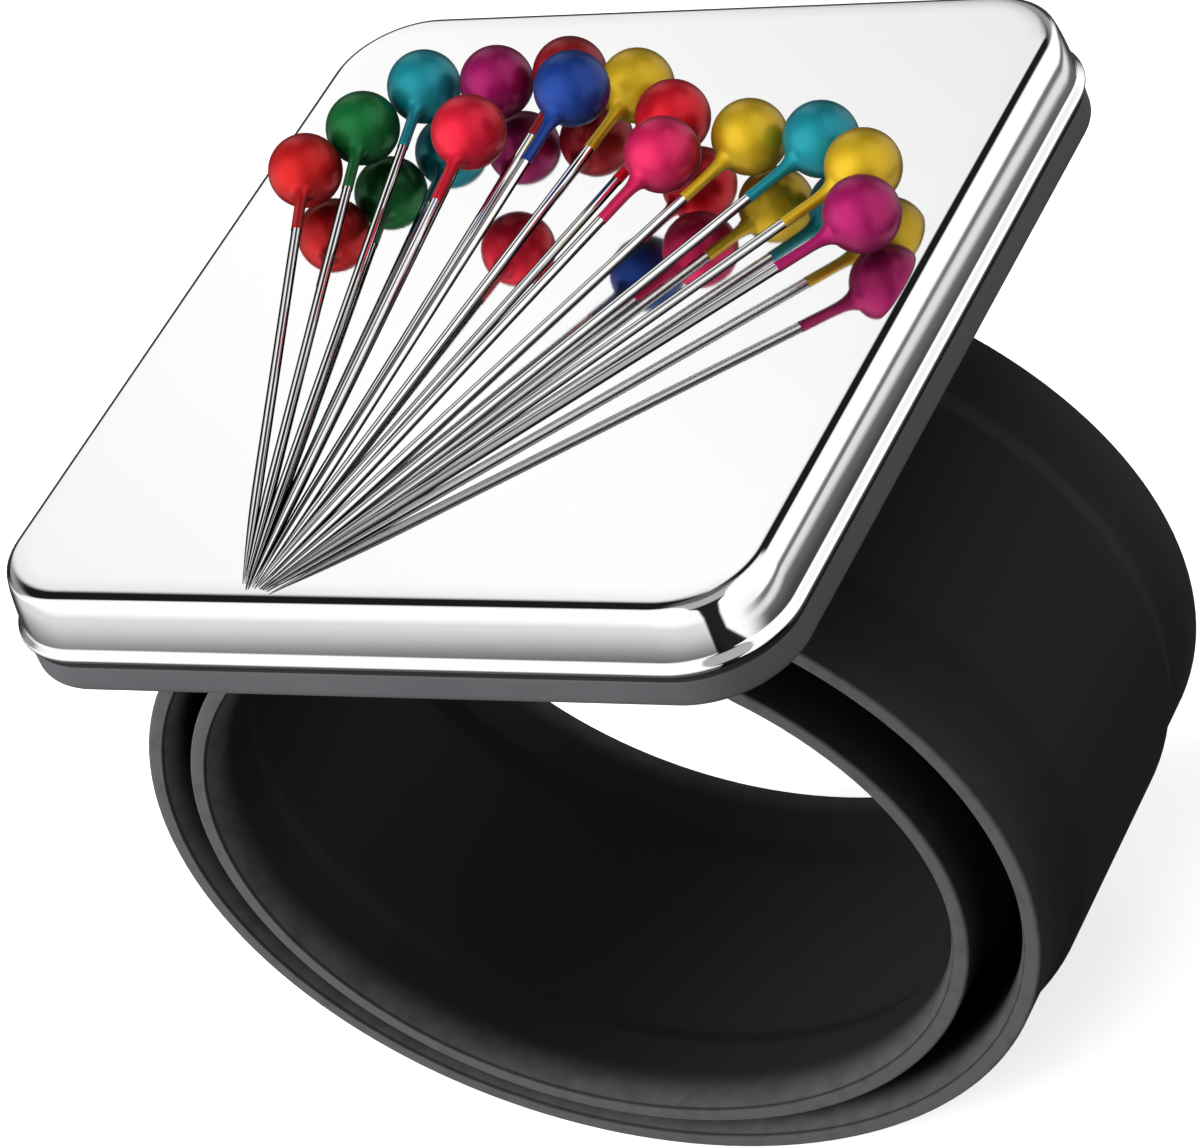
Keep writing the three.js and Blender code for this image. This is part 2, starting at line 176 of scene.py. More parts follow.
# %% Noise, ranges and bump
def noise_in(material, scale, detail=4.0, stretch=(1, 1, 1)):
    """Noise in the piece's own coordinates: scale counts its cells per metre."""
    place = add_node(material, "ShaderNodeTexCoord")
    mapping = add_node(material, "ShaderNodeMapping")
    mapping.inputs["Scale"].default_value = stretch
    noise = add_node(material, "ShaderNodeTexNoise", Scale=scale, Detail=detail)
    material.node_tree.links.new(place.outputs["Object"], mapping.inputs["Vector"])
    material.node_tree.links.new(mapping.outputs["Vector"], noise.inputs["Vector"])
    return noise.outputs["Fac"]


def spread(material, value, low, high, start=0.3, end=0.7):
    """A value from start to end, such as a noise's, stretched onto the range from low to high."""
    node = add_node(material, "ShaderNodeMapRange")
    for key, number in (("From Min", start), ("From Max", end), ("To Min", low), ("To Max", high)):
        node.inputs[key].default_value = number
    material.node_tree.links.new(value, node.inputs["Value"])
    return node.outputs["Result"]


def add_bump(material, shader, height, strength, distance):
    """Bump of a real depth, in metres, from a height between 0 and 1."""
    bump = add_node(material, "ShaderNodeBump", Strength=strength, Distance=distance)
    material.node_tree.links.new(height, bump.inputs["Height"])
    material.node_tree.links.new(bump.outputs["Normal"], shader.inputs["Normal"])


# %% Tints and attributes
def tint(material, shader, value, dark, light):
    """The base colour runs from dark to light as the value runs from 0 to 1."""
    mix = add_node(material, "ShaderNodeMix")
    mix.data_type = "RGBA"
    mix.inputs[6].default_value = (*dark, 1)
    mix.inputs[7].default_value = (*light, 1)
    material.node_tree.links.new(value, mix.inputs[0])
    material.node_tree.links.new(mix.outputs[2], shader.inputs["Base Color"])


def marked(material, name):
    """The share between 0 and 1 that a piece's own attribute gives each of its points."""
    node = add_node(material, "ShaderNodeAttribute")
    node.attribute_name = name
    return node.outputs["Fac"]


def combine(material, operation, first, second):
    """Two shares made into one."""
    node = add_node(material, "ShaderNodeMath")
    node.operation = operation
    material.node_tree.links.new(first, node.inputs[0])
    material.node_tree.links.new(second, node.inputs[1])
    return node.outputs[0]


# %% Polished steel and matt skins
def steel(name, colour, smooth, worn, marks, stretch=(1, 1, 1)):
    """Polished metal: roughness wanders between smooth and worn, over fine marks."""
    material, shader = finish(name, colour, smooth, metallic=1.0)
    wander = spread(material, noise_in(material, 90), smooth, worn)
    material.node_tree.links.new(wander, shader.inputs["Roughness"])
    add_bump(material, shader, noise_in(material, 2600, 2, stretch), marks, 0.00001)
    return material


def matt(name, dark, light, roughness, grain, depth):
    """A moulded matt skin: two close tones in soft clouds, and a fine grain."""
    material, shader = finish(name, dark, roughness)
    tint(material, shader, spread(material, noise_in(material, 160, 6), 0, 1), dark, light)
    add_bump(material, shader, noise_in(material, grain, 3), 0.5, depth)
    return material


# %% Steels and plastics
polished_steel = steel("polished_steel", (0.9, 0.9, 0.9), 0.035, 0.06, 0.04, (1, 6, 1))
spring_steel = steel("spring_steel", (0.30, 0.33, 0.36), 0.25, 0.4, 0.3, (1, 8, 1))
keeper_steel = steel("keeper_steel", (0.22, 0.23, 0.25), 0.35, 0.5, 0.4)
magnet_nickel = steel("magnet_nickel", (0.5, 0.51, 0.53), 0.2, 0.3, 0.3)
tray_plastic = matt("tray_plastic", (0.026, 0.027, 0.029), (0.031, 0.032, 0.034), 0.5, 9000, 0.00002)
pad_rubber = matt("pad_rubber", (0.012, 0.012, 0.012), (0.02, 0.02, 0.02), 0.8, 6000, 0.00003)

# %% Steel of the shafts, with a painted dark reflection
bright, painted_dark = (0.9, 0.9, 0.9), (0.03, 0.03, 0.035)
shaft_steel = steel("shaft_steel", bright, 0.03, 0.07, 0.05)
# Painted reflection: the base colour turns dark where the shaft is seen edge-on and on its sides, for
# the dark room it would mirror there.
seen_edge_on = add_node(shaft_steel, "ShaderNodeLayerWeight", Blend=0.5).outputs["Facing"]
painted_edge_reflection = spread(shaft_steel, seen_edge_on, 0, 1, 0.4, 0.56)
painted_reflection_share = combine(shaft_steel, "MAXIMUM", painted_edge_reflection, marked(shaft_steel, "painted_dark_reflection"))
shaft_shader = shaft_steel.node_tree.nodes["Principled BSDF"]
shaft_shader.inputs["Specular Tint"].default_value = (0.1, 0.1, 0.1, 1)
tint(shaft_steel, shaft_shader, painted_reflection_share, bright, painted_dark)


# %% Silicone
def silicone_finish():
    """Near-black rubber with pale light painted along its rims, where a point attribute marks it."""
    material, shader = finish("silicone", (0.008, 0.008, 0.0085), 0.55)
    shader.inputs["Specular IOR Level"].default_value = 0.06
    speckle = spread(material, noise_in(material, 900, 8), 0.75, 1.3)
    # Painted light on the rims, from the point attribute, broken up by random speckle.
    painted_rim_glow = combine(material, "MULTIPLY", marked(material, "painted_rim_light"), speckle)
    tint(material, shader, painted_rim_glow, (0.0062, 0.0062, 0.0064), (0.031, 0.031, 0.032))
    add_bump(material, shader, noise_in(material, 7000, 3), 0.5, 0.00001)
    return material


silicone = silicone_finish()
print("finishes", len(bpy.data.materials))

# %% [markdown]
# ## Plate
#
# The cover is one sheet of steel drawn over a tray. Its top is flat, its edge turns over in a soft
# curve, and its wall kicks out to a narrow flange at the foot. A box with a Bevel modifier would
# come close, but a bevel starts at once, and a mirror shows that start as a hard line. A profile
# given by the angle it has turned through draws this best: the sheet never kinks, so neither does
# a reflection. The tray is a plain moulding with a small radius at its foot, and a sunk line parts
# it from the flange. The outer sizes of both are read from the measured model, whose place they
# take.

# %% Measure the plate
def measured(node):
    """A measured piece's lowest and highest corner in millimetres, to a hundredth."""
    return [np.round(np.array(corner) / MM, 2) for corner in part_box(node)]


cover_low, cover_high = measured("steel_cover")
tray_low, tray_high = measured("base_tray")
plate_width, plate_depth = (cover_high - cover_low)[:2]
cover_foot, plate_top = cover_low[2], cover_high[2]
tray_foot, tray_inset = tray_low[2], cover_high[0] - tray_high[0]
plate_corner = 5.4
print("plate is", plate_width, "by", plate_depth, "mm and its face is at", plate_top, "mm")


# %% Rings of the plate
def plate_ring(inset, z, corner_points=20, side_points=6):
    """A rectangle with round corners, drawn in by inset, at height z."""
    radius = plate_corner - inset
    half = np.array([plate_width, plate_depth]) / 2 - plate_corner
    quarters = []
    for k, (sx, sy) in enumerate(((1, -1), (1, 1), (-1, 1), (-1, -1))):
        angle = np.radians(90 * (k - 1) + np.linspace(0, 90, corner_points))
        arc = np.array([sx, sy]) * half + radius * np.stack([np.cos(angle), np.sin(angle)], -1)
        quarters.append(arc)
    outline = []
    for arc, following in zip(quarters, quarters[1:] + quarters[:1]):
        share = np.linspace(0, 1, side_points + 2)[1:-1, None]
        outline += [arc, arc[-1] * (1 - share) + following[0] * share]
    flat = np.concatenate(outline)
    return np.column_stack([flat, np.full(len(flat), z)])


def plate_body(name, profile, material, sharp):
    """Rings of the plate's outline, one for each (inset, height) of the profile."""
    return ring_body(name, np.stack([plate_ring(i, z) for i, z in profile]), material, sharp)


# %% Draw the cover's profile from its turning angle
bend = np.radians([0, 3.2, 9, 33, 60, 77, 83, 88, 88, 46, 46, 88, 90])
bend_at = np.cumsum([0, 0.85, 0.26, 0.36, 0.22, 0.18, 1.0, 1.6, 0.03, 0.08, 0.34, 0.12, 0.08])
along_sheet = np.linspace(0, bend_at[-1], 161)
turned = np.interp(along_sheet, bend_at, bend)
turned = np.convolve(np.pad(turned, 2, "edge"), np.ones(5) / 5, "valid")
step = along_sheet[1]
run = np.concatenate([[0], np.cumsum((np.cos(turned)[1:] + np.cos(turned)[:-1]) / 2)]) * step
drop = np.concatenate([[0], np.cumsum((np.sin(turned)[1:] + np.sin(turned)[:-1]) / 2)]) * step
shoulder = np.column_stack([run[-1] - run, plate_top - drop])
print("cover's edge runs in by", round(run[-1], 2), "mm and down by", round(drop[-1], 2), "mm")

# %% Close the cover's profile and make it
sheet = 0.6
top_face = np.array([(shoulder[0, 0] + 0.8, plate_top), (shoulder[0, 0] + 0.3, plate_top)])
foot_edge = np.array([(0.02, cover_foot + 0.02), (0.1, cover_foot)])
inner_face = np.array([
    (sheet, cover_foot),
    (1.0, cover_foot + 0.7),
    (1.1, plate_top - 2 * sheet),
    (1.7, plate_top - sheet),
])
cover_profile = np.concatenate([top_face, shoulder, foot_edge, inner_face])
cover = plate_body("polished_cover", cover_profile, polished_steel, 50)
print("cover has", len(cover.data.polygons), "faces")
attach(cover, "wristband_base")
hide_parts("steel_cover")

# %% Mould the tray
foot = np.radians(np.linspace(0, 90, 7))
foot_radius = 0.5
sunk_line = 0.55
tray_top = cover_foot - sunk_line
wall_inside, wall_outside, wall_top = 2.1, 0.7, plate_top - 2.0
tray_profile = np.concatenate([
    [(wall_inside, tray_foot + 1.0), (wall_inside, wall_top), (wall_outside, wall_top)],
    [(wall_outside, tray_top)],
    [(tray_inset + 0.06, tray_top), (tray_inset, tray_top - 0.06)],
    np.column_stack([
        tray_inset + foot_radius * (1 - np.cos(foot)),
        tray_foot + foot_radius * (1 - np.sin(foot)),
    ]),
])
tray = plate_body("moulded_tray", tray_profile, tray_plastic, 40)
print("tray shows", round(tray_top - tray_foot, 2), "mm under the cover")
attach(tray, "wristband_base")
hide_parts("base_tray")

# %% Give the hidden pieces their finishes
for node, material in (
    ("keeper_plate", keeper_steel),
    ("magnet_left", magnet_nickel),
    ("magnet_right", magnet_nickel),
    ("saddle_pad", pad_rubber),
):
    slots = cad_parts[node].material_slots
    for k in range(len(slots)):
        slots[k].material = material
    print(node, "keeps its measured shape, in", material.name)

# %% [markdown]
# ## Band
#
# A snap band is a silicone sleeve over a strip of spring steel that wants to curl. The outer arm
# winds clockwise round an ellipse, and the inner arm winds the other way inside it, standing off
# by about a thickness and springing away from it at its tail. Each arm is a section carried along
# such a path. A sheet thickened with Solidify couldn't hold the lips, the crown, the bevel under
# the rim and the slot for the strip, which a section can. The arm is made in lengths from the
# middle of one hinged part to the middle of the next, so that each length spans one hinge.

# %% Sizes of the coil
coil_half = np.array([24.5, 20.0])
coil_centre = np.array([-2.4, 0.0])
lip, crown, recess = 1.5, 0.45, 0.45
crown_outer = lip + crown
root_right, root_left = 68, 101
outer_tail, inner_tail = -222, 424
parts_per_arm = 6
arm_dip, arm_closing, tail_lift = 2.5, 0.7, 3.1


# %% How the inner arm stands inside the outer one
def soft_step(value, start, end):
    """0 before start, 1 after end, and 3u^2 - 2u^3 between them."""
    u = np.clip((value - start) / (end - start), 0, 1)
    return u * u * (3 - 2 * u)


def inner_offset(degrees):
    """How far it stands inside: it dips in, closes up again, and lifts away at its tail."""
    dip = arm_dip * soft_step(degrees, root_left + 3, 360 + outer_tail - 5)
    closing = arm_closing * soft_step(degrees, 170, 250)
    return dip - closing + tail_lift * soft_step(degrees, 250, 400)


# %% Trace a path and carry a section along it
def trace(start, end, offset):
    """Points (x, z) of the inner face, outward normals, and the distance travelled on the crown."""
    degrees = np.linspace(start, end, 1601)
    direction = np.column_stack([np.cos(np.radians(degrees)), np.sin(np.radians(degrees))])
    outward = direction * coil_half[::-1]
    outward /= np.linalg.norm(outward, axis=1)[:, None]
    points = coil_centre + coil_half * direction - offset(degrees)[:, None] * outward
    along = np.gradient(points, axis=0)
    normals = np.column_stack([along[:, 1], -along[:, 0]])
    normals /= np.linalg.norm(normals, axis=1)[:, None]
    normals *= np.sign(((points - coil_centre) * normals).sum(1))[:, None]
    steps = np.linalg.norm(np.diff(points + crown_outer * normals, axis=0), axis=1)
    return points, normals, np.concatenate([[0], np.cumsum(steps)])


def stations(path, travelled):
    """The path's point and normal at each distance travelled."""
    points, normals, lengths = path
    at = [np.interp(travelled, lengths, column) for column in (*points.T, *normals.T)]
    normal = np.column_stack(at[2:])
    return np.column_stack(at[:2]), normal / np.linalg.norm(normal, axis=1)[:, None]


def carry(section, place, normal):
    """Each ring is the section (y, n) set on a station: y stays, n runs along the normal."""
    flat = place[:, None, :] + section[..., 1:] * normal[:, None, :]
    return np.stack([flat[..., 0], section[..., 0], flat[..., 1]], -1)


# %% The paths of the two arms and the root
outer_path = trace(root_right, outer_tail, lambda degrees: 0 * degrees)
inner_path = trace(root_left, inner_tail, inner_offset)
root_path = trace(root_right, root_left, lambda degrees: 0 * degrees)
print("arms unroll to", round(outer_path[2][-1], 1), "and", round(inner_path[2][-1], 1), "mm")

# %% The band's section
half_width = measured("band_root_sleeve")[1][1]
crown_half, shoulder_half = 6.9, 7.7
lift_from, lift_to = crown_half - 0.5, shoulder_half + 0.5
rim_radius, groove_width = 0.18, 0.21
bevel_start, bevel_height = 9.6, 0.68
quarter = np.radians(np.linspace(0, 90, 6))


def soft_lift(y):
    """1 on the crown, 0 on the lips, with an S between them."""
    return 1 - soft_step(np.abs(y), lift_from, lift_to)


# The upper outline from rim to middle, the underside with its bevel, and the rim between.
across = np.concatenate([
    np.linspace(half_width - rim_radius, lift_to, 6)[:-1],
    np.linspace(lift_to, lift_from, 12),
    np.linspace(lift_from, 0, 7)[1:],
])
top_half = np.column_stack([across, lip + crown * soft_lift(across)])
low_across = np.concatenate([
    half_width - np.array([0, 0.05, 0.1, 0.15, groove_width]),
    np.linspace(half_width - 0.3, bevel_start, 12)[:-1],
    across[across < bevel_start],
])
bevel = np.clip((low_across - bevel_start) / (half_width - bevel_start), 0, 1)
low_half = np.column_stack([low_across, recess * soft_lift(low_across) + bevel_height * bevel**3])
upper_rim = np.column_stack([
    half_width - rim_radius * (1 - np.cos(quarter)),
    lip - rim_radius * (1 - np.sin(quarter)),
])[:-1]
flat_rim = np.array([(half_width, bevel_height + 0.07)])
right_half = np.concatenate([low_half[::-1], flat_rim, upper_rim, top_half])
left_half = right_half[::-1][1:-1] * (-1, 1)
band_section = np.concatenate([right_half, left_half])
print("band section has", len(band_section), "points")

# %% [markdown]
# Light is painted along the band's rims: the rims and the bevel under them show as pale lines on the
# black band, the faces lighten a little towards the rims, and a painted shadow line runs in the
# groove between rim and bevel. A mask painted on the finished band could mark them, but the share of
# painted light is known for each point of the section, so the mesh carries it along the band.

# %% Where light is painted on the band's section
from_middle = np.abs(band_section[:, 0])
# Painted light: full at the rim's edge, rising to a fifth over the last 3 mm of the face, and to 0.8 on
# the bevel under the rim.
on_rim = soft_step(from_middle, half_width - rim_radius, half_width - 0.06)
on_rim = on_rim + 0.2 * (1 - on_rim) * soft_step(from_middle, half_width - 3, half_width)
on_bevel = 0.8 * soft_step(from_middle, bevel_start + 0.5, half_width - 0.3)
# Painted shadow: a dark line in the groove between the flat rim and the bevel.
painted_groove_shadow = soft_step(from_middle, half_width - groove_width, half_width - 0.1)
painted_groove_shadow -= soft_step(from_middle, half_width - 0.1, half_width - 0.01)
under_rim = band_section[:, 1] <= bevel_height
painted_rim_light_share = np.where(under_rim, on_bevel * (1 - painted_groove_shadow), on_rim)
print("dust covers", int((painted_rim_light_share > 0.5).sum()), "of the points")

# %% Sections of the slot and the strip
slot_half, strip_half = 6.1, 6
slot_section = np.array([(-slot_half, 1.0), (slot_half, 1.0), (slot_half, 1.4), (-slot_half, 1.4)])
strip_section = np.array([(-strip_half, 1.1), (strip_half, 1.1), (strip_half, 1.3), (-strip_half, 1.3)])

# %% [markdown]
# At its free end the sleeve rounds off: its lips draw in along a quarter circle, and the slot for
# the strip stops short. A boolean cut could shape such an end, but it would leave a hard edge. So
# the section itself changes from ring to ring, and gets thinner over the last tenths of a
# millimetre, which leaves a soft edge.


# %% Shape the free end
tail_radius = 5.0
slot_stop = 4.0
end_softness, least_lip = 0.3, 0.6
last_rings = np.array([1, 0.55, 0.25, 0.1, 0])


def cut_face(outline, hole=None):
    """Triangles that fill the outline around its hole, each turned the way the outline runs."""
    rings = [outline] if hole is None else [outline, hole]
    corners = np.concatenate(rings)
    threes = np.array(tessellate_polygon([[(y, n, 0) for y, n in ring] for ring in rings]))
    a, b, c = (corners[threes[:, k]] for k in range(3))
    following = np.roll(outline, -1, 0)
    way = np.sign((outline[:, 0] * following[:, 1] - outline[:, 1] * following[:, 0]).sum())
    turn = (b - a)[:, 0] * (c - a)[:, 1] - (b - a)[:, 1] * (c - a)[:, 0]
    return np.where((turn * way > 0)[:, None], threes, threes[:, ::-1])


def tail_sections(section, left):
    """The section at distances left before the free end: lips drawn in, and thinner at the last."""
    near = np.clip(tail_radius - left, 0, tail_radius)
    width = half_width - tail_radius + np.sqrt(np.maximum(tail_radius**2 - near**2, 0))
    width = np.maximum(width, shoulder_half + least_lip)
    y, n = section[None, :, 0], section[None, :, 1]
    squeeze = (width[:, None] - shoulder_half) / (half_width - shoulder_half)
    lips = np.sign(y) * (shoulder_half + (np.abs(y) - shoulder_half) * squeeze)
    y = np.where(np.abs(y) > shoulder_half, lips, y)
    edge = np.clip(end_softness - left, 0, end_softness)[:, None]
    return np.stack([y, lip / 2 + (n - lip / 2) * (1 - edge)], -1)


# %% Make a sleeve and a strip
def sleeve(name, path, start, end, tail):
    """A length of the band with the strip's slot in it, from start to end along the crown."""
    travelled = np.linspace(start, end, int(np.ceil(end - start)) + 1)
    if tail:
        travelled = np.concatenate([travelled[:-1], end - last_rings])
        travelled = np.unique(np.round(travelled, 6))
    sections = np.repeat(band_section[None], len(travelled), 0)
    if tail:
        sections = tail_sections(band_section, end - travelled)
    outer = carry(sections, *stations(path, travelled))
    reach = travelled[travelled <= end - slot_stop] if tail else travelled
    hollow = carry(np.repeat(slot_section[None], len(reach), 0), *stations(path, reach))
    count, hole_count = len(band_section), len(slot_section)
    base = outer.shape[0] * count
    faces = wall_faces(outer.shape[0], count)
    faces += wall_faces(hollow.shape[0], hole_count, base, inward=True)
    last_outer, last_slot = base - count, base + (len(reach) - 1) * hole_count

    def placed(threes, outer_start, slot_start):
        """A cut's triangles on the mesh's points: the outline's numbers first, then the slot's."""
        return np.where(threes < count, threes + outer_start, threes - count + slot_start)

    pierced = cut_face(band_section, slot_section)
    faces += placed(pierced, 0, base)[:, ::-1].tolist()
    if tail:
        faces += (cut_face(sections[-1]) + last_outer).tolist()
        faces += (cut_face(slot_section) + last_slot)[:, ::-1].tolist()
    else:
        faces += placed(pierced, last_outer, last_slot).tolist()
    points = np.concatenate([outer.reshape(-1, 3), hollow.reshape(-1, 3)])
    piece = make_piece(name, points, turned_out(points, faces), silicone, 50)
    # The painted rim light, point by point; none inside the slot.
    mark(piece, "painted_rim_light", np.concatenate([np.tile(painted_rim_light_share, len(outer)), np.zeros(len(points) - base)]))
    return piece


def strip(name, path, start, end):
    """A length of the spring steel strip in the slot."""
    travelled = np.linspace(start, end, int(np.ceil(end - start)) + 1)
    rings = carry(np.repeat(strip_section[None], len(travelled), 0), *stations(path, travelled))
    return ring_body(name, rings, spring_steel, 40)


def joined(path, backwards):
    """An arm's path with half of the root's path in front of it."""
    points, normals, _ = root_path
    half = points.shape[0] // 2
    if backwards:
        root_points, root_normals = points[half:], normals[half:]
    else:
        root_points, root_normals = points[half::-1], normals[half::-1]
    all_points = np.concatenate([root_points[:-1], path[0]])
    all_normals = np.concatenate([root_normals[:-1], path[1]])
    crown_line = all_points + crown_outer * all_normals
    steps = np.linalg.norm(np.diff(crown_line, axis=0), axis=1)
    lengths = np.concatenate([[0], np.cumsum(steps)])
    return (all_points, all_normals, lengths), lengths[len(root_points) - 1]


# %% Lay both arms in lengths, each across one hinge
strip_clearance = 0.3
for arm, path, backwards in (("outer_arm", outer_path, False), ("inner_arm", inner_path, True)):
    whole, arm_start = joined(path, backwards)
    part_length = path[2][-1] / parts_per_arm
    middles = arm_start + part_length * (np.arange(parts_per_arm) + 0.5)
    starts = np.concatenate([[0], middles[:-1]])
    for k, start in enumerate(starts):
        tail = k == parts_per_arm - 1
        end = whole[2][-1] if tail else middles[k]
        after = f"{arm}_{k + 1}"
        strip_end = end - slot_stop - strip_clearance if tail else end
        pieces = (
            (sleeve(f"{after}_silicone", whole, start, end, tail), "sleeve", "silicone"),
            (strip(f"{after}_strip", whole, start, strip_end), "spring", "spring_steel"),
        )
        for piece, node, slot in pieces:
            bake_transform(piece)
            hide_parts(f"{after}_{node}")
            if k == 0:
                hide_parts(f"band_root_{node}")

# %% [markdown]
# ## Pins
#
# Each pin is a thin steel shaft with a bead moulded on its end. The lacquer that colours the bead
# runs down onto the shaft as a narrow collar. A ball and a cylinder pushed together would show
# their seam, so head and collar are one profile turned round the pin's axis, and the shaft with its
# long point is another. The tips meet near the plate's front edge and the beads spread out behind,
# in two layers of shafts.

# %% Where the pins lie
head_radius = 2.0
fan_reach = 40.1
fan_left = np.radians(-19.3)
fan_focus = np.array([-5.5, 0.4 - plate_depth / 2, plate_top])
shaft_radius, tip_radius, taper = 0.27, 0.03, 7.5
low_tip, high_tip = 0.08, 0.19
tips_from_focus = 1.5
collar_length, bore_radius, bore_depth = 3.1, 0.276, 1.4
collar_wall, collar_flare, neck_radius = 0.022, 0.3, 0.7

# Each pin: its lacquer, then, in head radii, its place along the fan, its distance back from the
# longest reach and its height above the plate, and at last the height of its tip in millimetres.
pins = {
    "red_left": ("red", 0, 3.0, 0, high_tip),
    "green": ("green", 1.6, 1.55, 0, high_tip),
    "teal_left": ("teal", 3.1, 0.05, 0, low_tip),
    "magenta": ("magenta", 5.35, 0.25, 0, low_tip),
    "rose": ("rose", 6.3, 3.6, 0.85, high_tip),
    "crimson": ("crimson", 7.5, 0, 0, low_tip),
    "yellow_left": ("yellow", 9.9, 0.4, 0, low_tip),
    "blue": ("blue", 10.35, 3.05, 1.95, high_tip),
    "red_middle": ("scarlet", 11.95, 1.45, 0, high_tip),
    "pink": ("pink", 13.55, 3.3, 0.45, high_tip),
    "yellow_middle": ("yellow", 15, 1.45, 0, low_tip),
    "teal_right": ("teal", 17.1, 0.65, 0, low_tip),
    "yellow_right": ("yellow", 19.25, 0.75, 0, low_tip),
    "purple": ("purple", 21.15, 1.8, 0, high_tip),
}

# %% Pearl lacquers
lacquers = {
    "red": (0.44, 0.006, 0.007),
    "scarlet": (0.56, 0.005, 0.016),
    "crimson": (0.26, 0.004, 0.009),
    "rose": (0.60, 0.008, 0.030),
    "pink": (0.58, 0.012, 0.09),
    "magenta": (0.26, 0.003, 0.085),
    "purple": (0.33, 0.005, 0.10),
    "green": (0.003, 0.125, 0.026),
    "teal": (0.006, 0.22, 0.27),
    "blue": (0.006, 0.037, 0.22),
    "yellow": (0.56, 0.36, 0.010),
}


def pearl(colour_name):
    """Pearl lacquer: the tint deepens where it is seen edge-on, and fine flakes scatter its gloss."""
    colour = np.array(lacquers[colour_name])
    material, shader = finish(f"pearl_{colour_name}", colour, 0.42, metallic=0.7, coat=0.12)
    facing = add_node(material, "ShaderNodeLayerWeight", Blend=0.35)
    tint(material, shader, facing.outputs["Facing"], colour, colour * 0.3)
    flakes = spread(material, noise_in(material, 9000, 2), 0.38, 0.46)
    material.node_tree.links.new(flakes, shader.inputs["Roughness"])
    add_bump(material, shader, noise_in(material, 1500, 2), 0.06, 0.00002)
    return material


pearls = {name: pearl(name) for name in lacquers}
print("lacquers", len(pearls))


# %% Profiles of the heads and the shafts
def turned_body(name, profile, tip, direction, material, around, sharp):
    """Rings of (radius, distance from the tip), turned round the pin's axis."""
    side = np.cross(direction, (0, 0, 1.0))
    side /= np.linalg.norm(side)
    other = np.cross(side, direction)
    angle = np.linspace(0, 2 * np.pi, around, endpoint=False)
    spokes = np.cos(angle)[:, None] * side + np.sin(angle)[:, None] * other
    profile = np.asarray(profile)
    rings = tip + profile[:, 1, None, None] * direction + profile[:, 0, None, None] * spokes
    return ring_body(name, rings, material, sharp)


def head_profile(length):
    """The bore from its blind end to the collar's mouth, the collar's cone, its fillet, the ball."""
    start = length - head_radius - collar_length
    blind_end = length - head_radius + bore_depth
    mouth = [(0.05, blind_end), (bore_radius, blind_end), (bore_radius, start + 0.01)]
    mouth += [(bore_radius + 0.01, start), (bore_radius + 0.02, start + 0.02)]
    up = np.linspace(0.06, 1, 16)[:, None]
    flare = bore_radius + collar_wall + collar_flare * up**8
    cone = np.hstack([flare, start + up * (collar_length + 0.05)])
    neck = np.arcsin(neck_radius / head_radius)
    ball = np.linspace(np.pi - neck, 0.02, 26)[:, None]
    sphere = np.hstack([head_radius * np.sin(ball), length + head_radius * np.cos(ball)])
    return np.concatenate([mouth, cone, sphere])


def shaft_profile(length):
    """A long point that swells to the full shaft, and a square end inside the head."""
    end = length - head_radius + bore_depth - 0.1
    point = np.linspace(0, 1, 12)[:, None]
    swell = np.hstack([
        tip_radius + (shaft_radius - tip_radius) * np.sin(point * np.pi / 2) ** 0.9,
        0.02 + point * taper,
    ])
    square_end = [(shaft_radius, end - 0.05), (shaft_radius - 0.05, end)]
    return np.concatenate([[(0.02, 0)], swell, square_end])


def paint_dark_reflection_on_sides(piece):
    """Marks 1 on the sides, where a dark reflection of the room near the horizon is painted, and 0 on
    top and underneath.
    """
    normals = np.empty(len(piece.data.vertices) * 3, np.float32)
    piece.data.vertices.foreach_get("normal", normals)
    height = normals[2::3]
    mark(piece, "painted_dark_reflection", soft_step(height, 0.35, 0.1) * soft_step(height, -0.6, -0.35))


# %% Turn the pins and lay them in the fan
for pin, (colour, across_fan, back, raised, tip_height) in pins.items():
    bearing = fan_left + across_fan * head_radius / fan_reach
    outward = np.array([np.sin(bearing), np.cos(bearing), 0])
    tip = fan_focus + outward * tips_from_focus + (0, 0, tip_height)
    head_height = head_radius * (1 + raised) + 0.2
    head = fan_focus + outward * (fan_reach - back * head_radius) + (0, 0, head_height)
    length = np.linalg.norm(head - tip)
    direction = (head - tip) / length
    bead = turned_body(f"{pin}_bead", head_profile(length), tip, direction, pearls[colour], 40, 30)
    shaft = turned_body(f"{pin}_needle", shaft_profile(length), tip, direction, shaft_steel, 28, 30)
    # Paints the dark reflection onto the shaft's sides.
    paint_dark_reflection_on_sides(shaft)
    for piece, node in ((bead, "head"), (shaft, "shaft")):
        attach(piece, f"pin_{pin}")
        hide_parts(f"pin_{pin}_{node}")
print("pins", len(pins))

# %% [markdown]
# ## Studio
#
# A mirror shows its room, so the room decides how the plate looks. It could be built from white
# boards and black flags, as a photographer does it, but here it is only light that depends on the
# direction looked in: nothing can stand in the way, and nothing casts a shadow. The floor is plain
# white paper. It is kept out of the reflections, because the room below the horizon is part of the
# same light. The camera sees plain white instead of all this.

# %% Floor
floor_half = 1.5
floor_z = -(coil_half[1] + crown_outer) - 0.05
floor_points = np.array([(-1, -1, 0), (1, -1, 0), (1, 1, 0), (-1, 1, 0)]) * floor_half / MM
floor_points[:, 2] = floor_z
floor_paper, floor_shader = finish("floor_paper", (0.45, 0.45, 0.45), 0.7)
floor_shader.inputs["Emission Color"].default_value = (1, 1, 1, 1)
floor_shader.inputs["Emission Strength"].default_value = 0.72
floor = make_piece("floor", floor_points, [[0, 1, 2, 3]], floor_paper)
floor.visible_glossy = False
print("floor lies at", round(floor_z, 2), "mm")

